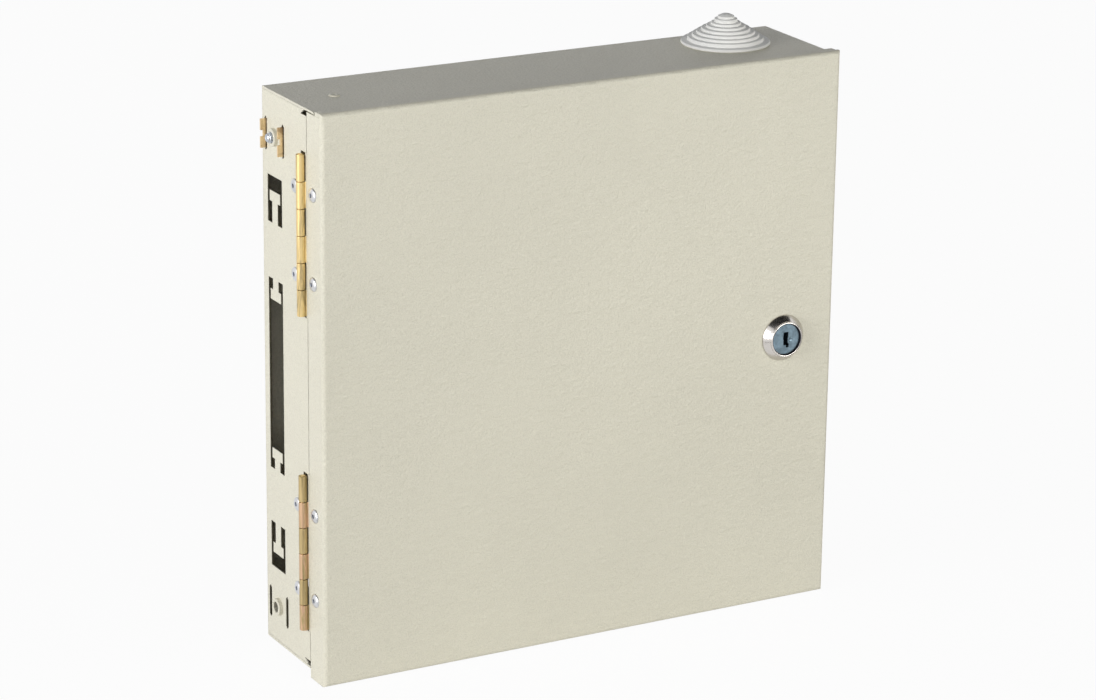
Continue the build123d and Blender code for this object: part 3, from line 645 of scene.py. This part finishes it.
def make_top_rivet():
    """Flat plug rivet in the top wall, painted over, with a dark disc in its dimple as painted shade."""
    place = axes_frame((*TOP_RIVET, TOP), (0.0, 0.0, 1.0), (1.0, 0.0, 0.0))
    bm = bmesh.new()
    lathe(bm, TOP_RIVET_PROFILE, place, 64)
    smooth(make_piece("top_rivet_head", bm, cream, CABINET, ("top_rivet",)), 50.0)
    # Painted shade: a dark disc at the bottom of the rivet's dimple, in the mandrels' dark steel
    pit = bmesh.new()
    lathe(pit, TOP_DIMPLE_SHADE_PROFILE, place, 32)
    smooth(make_piece("top_rivet_dimple_shade", pit, mandrel_steel_and_dimple_shade, CABINET))


def lock_place():
    """Frame on the lock's axis, with its z out of the door's face."""
    return axes_frame((LOCK_X, FRONT, LOCK_Z), (0.0, -1.0, 0.0))


def make_lock_bezel():
    """Chromed bezel with a rolled lip, the flatted barrel behind it, and a dark ring of painted shade inside
    the lip round the plug.
    """
    bm = bmesh.new()
    place = lock_place()
    bore = PLUG_R + PLUG_PLAY
    rim = [(BEZEL_R - 0.2, 0.0), (BEZEL_R, 0.12), (BEZEL_R - 0.02, 0.35)]
    for t in [k / 8 for k in range(9)]:
        bulge = 0.3 * t * (1 - t)
        rim.append((BEZEL_R - 0.12 - BEZEL_SLOPE[0] * t, 0.55 + BEZEL_SLOPE[1] * t + bulge))
    rim += arc((LIP_R + 0.1, BEZEL_H - LIP_ROUND), LIP_ROUND, 12.0, 88.0, 8)
    rim += [(LIP_R, BEZEL_H - 0.05), (LIP_R, WELL_FLOOR), (bore, WELL_FLOOR), (bore, 0.0)]
    lathe(bm, rim, place, 144)
    edge = math.degrees(math.acos(BARREL_FLAT / BARREL_R))
    outline = arc((0.0, 0.0), BARREL_R, edge, 180.0 - edge, 24)
    outline += arc((0.0, 0.0), BARREL_R, 180.0 + edge, 360.0 - edge, 24)
    turned = [(y, x) for x, y in reversed(outline)]
    ring_prism(bm, turned, circle(bore, 64), place, -BARREL_LEN, 0.0)
    smooth(make_piece("lock_bezel", bm, lock_chrome, DOOR, ("lock_barrel",)), 32.0)
    # Painted shade: a near-black ring on the lip's inner wall, where the gap round the plug is shaded
    gap = bmesh.new()
    lip_shade_ring = [(LIP_R - 0.3, WELL_FLOOR + 0.05), (LIP_R - 0.02, WELL_FLOOR + 0.05),
             (LIP_R - 0.02, BEZEL_H - 0.12), (LIP_R - 0.3, BEZEL_H - 0.2)]
    lathe(gap, lip_shade_ring, place, 96)
    smooth(make_piece("lock_gap_shade", gap, painted_shade_metal, DOOR))


def make_lock_plug():
    """Zinc plug: a broad face with a stepped keyway and a punched dimple, its shaft and square tail."""
    bm = bmesh.new()
    place = lock_place()
    face = BEZEL_H - PLUG_SUNK
    keyhole = rounded(KEYWAY, KEYWAY_ROUND)
    ring_prism(bm, circle(PLUG_FACE_R, 96), keyhole, place, face - 1.0, face)
    ring_prism(bm, circle(PLUG_R, 64), keyhole, place, face - KEYWAY_DEPTH, face - 1.02)
    dimple = [(radius, face + height) for radius, height in DIMPLE_PROFILE]
    lathe(bm, dimple, place @ Matrix.Translation(DIMPLE_PLACE), 32)
    shaft = [(0.0, face - KEYWAY_DEPTH), (PLUG_R, face - KEYWAY_DEPTH), (PLUG_R, PLUG_END), (0.0, PLUG_END)]
    lathe(bm, shaft, place, 64)
    tail = [(TAIL_HALF * x, TAIL_HALF * y) for x, y in ((-1, -1), (1, -1), (1, 1), (-1, 1))]
    prism(bm, tail, place, TAIL_END, PLUG_END)
    soften(make_piece("lock_plug_face", bm, plug_blue, LOCK, ("lock_plug",)), 0.22, 2, 60.0)
    # Painted shade: a thin near-black sheet partway down the keyway
    pit = bmesh.new()
    prism(pit, KEYWAY_SHADE_OUTLINE, place, *[face - depth for depth in KEYWAY_SHADE_DEPTH])
    smooth(make_piece("keyway_shade_sheet", pit, painted_shade_metal, LOCK))


def set_material(material, *nodes):
    """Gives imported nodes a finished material."""
    for node in nodes:
        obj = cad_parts[node]
        obj.data.materials.clear()
        obj.data.materials.append(material)


def make_camera():
    """The photo's camera."""
    data = bpy.data.cameras.new("camera")
    data.sensor_fit = "HORIZONTAL"
    data.sensor_width = CAMERA_SENSOR
    data.lens = CAMERA_LENS
    data.clip_start = 0.05
    data.clip_end = 50.0
    camera = bpy.data.objects.new("camera", data)
    camera.location = CAMERA_PLACE
    camera.rotation_euler = tuple(math.radians(a) for a in CAMERA_TURN)
    bpy.context.scene.collection.objects.link(camera)
    bpy.context.scene.camera = camera


def area_light(name, place, target, size, power, colour):
    """Soft rectangular lamp that faces a target."""
    data = bpy.data.lights.new(name, "AREA")
    data.shape = "RECTANGLE"
    data.size, data.size_y = size
    data.energy = power
    data.color = colour
    light = bpy.data.objects.new(name, data)
    light.location = place
    light.rotation_euler = (Vector(target) - Vector(place)).to_track_quat("-Z", "Y").to_euler()
    bpy.context.scene.collection.objects.link(light)


def flat_square(name, side, material):
    """Level square of a side in metres, linked to the scene."""
    bm = bmesh.new()
    bmesh.ops.create_grid(bm, x_segments=1, y_segments=1, size=side / 2)
    mesh = bpy.data.meshes.new(name)
    bm.to_mesh(mesh)
    bm.free()
    mesh.materials.append(material)
    obj = bpy.data.objects.new(name, mesh)
    bpy.context.scene.collection.objects.link(obj)
    return obj


def dark_card(name, place, facing, size, casts=True):
    """Dark studio card for the metal to reflect, unseen by the camera. Only some cards cast shadows."""
    mat, tree = new_material(name)
    n = Nodes(tree)
    felt = n.noise(n.place(), 40.0)
    tint = n.ramp(felt, ((0.3, FELT_DARK), (0.7, FELT_LIGHT)))
    n.shader(base_color=tint, roughness=0.9)
    card = flat_square(name, 1.0, mat)
    card.location = place
    card.scale = (size[0], size[1], 1.0)
    card.rotation_euler = Vector(facing).to_track_quat("Z", "Y").to_euler()
    card.visible_camera = False
    card.visible_shadow = casts
    card.visible_diffuse = casts


def make_floor():
    """Pale floor that looks white but keeps a faint shadow."""
    mat, tree = new_material("floor")
    n = Nodes(tree)
    mottled = n.noise(n.place(), 3.0)
    diffuse = n.add("ShaderNodeBsdfDiffuse")
    n.link(n.ramp(mottled, ((0.2, FLOOR), (0.8, tuple(c * 1.01 for c in FLOOR)))), diffuse.inputs["Color"])
    glow = n.add("ShaderNodeEmission")
    glow.inputs["Color"].default_value = WHITE
    mix = n.add("ShaderNodeMixShader")
    n.link(n.math("MULTIPLY", n.backdrop_rays(), FLOOR_GLOW), mix.inputs[0])
    n.link(diffuse.outputs[0], mix.inputs[1])
    n.link(glow.outputs[0], mix.inputs[2])
    out = n.add("ShaderNodeOutputMaterial")
    n.link(mix.outputs[0], out.inputs["Surface"])
    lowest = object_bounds()[0][2]
    floor = flat_square("floor", FLOOR_SIDE, mat)
    floor.location = (0.0, 0.0, lowest - FLOOR_GAP)


def make_world():
    """Soft sky light, with white where the background is seen."""
    world = bpy.data.worlds.new("world")
    world.use_nodes = True
    bpy.context.scene.world = world
    world.node_tree.nodes.clear()
    n = Nodes(world.node_tree)
    soft = n.add("ShaderNodeBackground")
    soft.inputs["Color"].default_value = SKY
    soft.inputs["Strength"].default_value = SKY_STRENGTH
    white = n.add("ShaderNodeBackground")
    white.inputs["Color"].default_value = WHITE
    white.inputs["Strength"].default_value = 1.0
    mix = n.add("ShaderNodeMixShader")
    out = n.add("ShaderNodeOutputWorld")
    n.link(n.backdrop_rays(), mix.inputs[0])
    n.link(soft.outputs[0], mix.inputs[1])
    n.link(white.outputs[0], mix.inputs[2])
    n.link(mix.outputs[0], out.inputs["Surface"])


def make_studio():
    """Pale floor, pale world and soft lamps: the strongest light comes from the left."""
    make_floor()
    dark_card("ceiling_card", (0.2, 0.2, 1.25), (0.0, 0.0, -1.0), (2.6, 2.1))
    dark_card("side_card", (1.9, -0.7, 0.35), (-1.0, 0.35, 0.0), (1.3, 1.4))
    dark_card("upper_card", (-0.75, -1.35, 1.25), (0.45, 0.6, -0.65), (0.85, 0.7), False)
    dark_card("floor_card", (0.50, 0.08, -0.12), (0.0, 0.0, 1.0), (0.62, 0.66), False)
    dark_card("strip_card", (-0.19, -0.19, -0.125), (0.0, 0.0, 1.0), (0.03, 0.25), False)
    make_world()
    area_light("key", (-2.2, -0.45, 0.35), (0.0, -0.03, 0.0), (1.4, 1.4), 42.5, (0.985, 0.98, 0.98))
    area_light("front", (1.0, -1.75, 0.22), (0.06, -0.05, -0.03), (1.5, 0.65), 17.0, (1.0, 0.985, 0.93))


gold_stops = ((0.30, ZINC_OLIVE), (0.40, ZINC_BRASS), (0.50, ZINC_GOLD), (0.70, ZINC_GOLD))
pink_stops = ((0.30, ZINC_OLIVE), (0.42, ZINC_BRASS), (0.54, ZINC_PINK), (0.66, ZINC_BRASS))
brass_stops = ((0.32, ZINC_OLIVE), (0.46, ZINC_BRASS), (0.66, tuple(c * 1.25 for c in ZINC_BRASS)))
clamp_stops = ((0.38, ZINC_BROWN), (0.50, ZINC_SAND), (0.70, ZINC_SAND))
# Dark blue-grey steel of the hinge rivets' mandrels, also used as painted shade in the top rivet's dimple
mandrel_and_dimple_shade_stops = ((0.3, (0.10, 0.11, 0.14)), (0.7, (0.30, 0.33, 0.40)))
# Near-black metal used as painted shade in the keyway and inside the bezel's lip
painted_shade_stops = ((0.3, (0.02, 0.02, 0.025)), (0.7, (0.06, 0.06, 0.07)))

cream = powder_coat("cream_coat", CREAM)
wall_cream = powder_coat("wall_coat", CREAM, cut_edges=True)
yellow_zinc = rolled_zinc("yellow_zinc_plate", gold_stops, 0.24)
pink_zinc = rolled_zinc("pink_zinc_plate", pink_stops, 0.26)
brass_zinc = rolled_zinc("brass_zinc_plate", brass_stops, 0.26)
clamp_zinc = plated("clamp_zinc_plate", clamp_stops, 0.30, (1.0, 1.0, 0.2), 2000.0, patch=110.0)
rivet_steel = plated("rivet_steel_bare", shades(STEEL, 0.8), 0.22)
mandrel_steel_and_dimple_shade = plated("mandrel_steel_and_dimple_shade", mandrel_and_dimple_shade_stops, 0.35)
bright_zinc = plated("bright_zinc_plate", shades(BRIGHT_ZINC, 0.75), 0.26)
lock_chrome = plated("lock_chrome_plate", shades(CHROME, 0.9), 0.10, grain_depth=0.000005)
plug_blue = plated("plug_blue_zinc", shades(PLUG_BLUE, 0.62, 0.36, 0.62), 0.27, patch=280.0)
painted_shade_metal = plated("painted_shade_metal", painted_shade_stops, 0.5)
rubber = moulded("grommet_rubber_skin", RUBBER, 0.62, 1100.0, 0.00005)
adapter_plastic = moulded("adapter_plastic", ADAPTER_BLUE, 0.45)
cap_plastic = moulded("cap_plastic_skin", CAP_RED, 0.35)
tray_plastic = moulded("tray_plastic_skin", TRAY_BLACK, 0.5)
comb_plastic = moulded("comb_plastic_skin", COMB_GREY, 0.45)
lid_plastic = clear_plastic("lid_plastic_clear", LID_CLEAR, 0.08)

set_material(wall_cream, "hinge_wall")
set_material(cream, "box_body", "door", "top_rivet", "upper_threaded_bush", "lower_threaded_bush",
             "adapter_bracket")
for where in ("upper", "lower"):
    set_material(yellow_zinc, *[f"{where}_hinge_{part}" for part in ("body_leaf", "door_leaf", "pin")])
set_material(clamp_zinc, "clamp_bracket")
set_material(rivet_steel, "body_rivets", "door_rivets")
set_material(bright_zinc, "clamp_screw", "cam_screw", "lock_cam", "lock_nut", "earth_nut", "earth_stud",
             "tray_studs")
set_material(lock_chrome, "lock_barrel")
set_material(plug_blue, "lock_plug")
set_material(rubber, "cable_grommet")
for i in range(1, 9):
    set_material(adapter_plastic, f"adapter_{i}")
    set_material(cap_plastic, f"patch_cap_{i}", f"pigtail_cap_{i}")
set_material(tray_plastic, "splice_tray", "lid_nuts")
set_material(comb_plastic, "splice_comb")
set_material(lid_plastic, "tray_lid")

hinge_finishes = ((yellow_zinc, yellow_zinc), (brass_zinc, pink_zinc))
for where, centre, (body_finish, door_finish) in zip(("upper", "lower"), HINGE_CENTRES, hinge_finishes):
    make_hinge_leaf(f"{where}_hinge_body_leaf", centre, 1, CABINET, body_finish)
    make_hinge_leaf(f"{where}_hinge_door_leaf", centre, -1, DOOR, door_finish)
    make_flange_hem(f"{where}_flange_hem", centre)
for where, z in zip(("upper", "lower"), CLAMP_Z):
    make_bush(f"{where}_threaded_bush", z)
make_rivet_heads("body_rivets", HINGE_Y + RIVET_REACH, CABINET)
make_rivet_heads("door_rivets", HINGE_Y - RIVET_REACH, DOOR)
make_clamp_screw()
make_grommet()
make_top_rivet()
make_corner_weld()
make_lock_bezel()
make_lock_plug()

make_camera()
make_studio()
bpy.context.scene.view_settings.view_transform = "Standard"
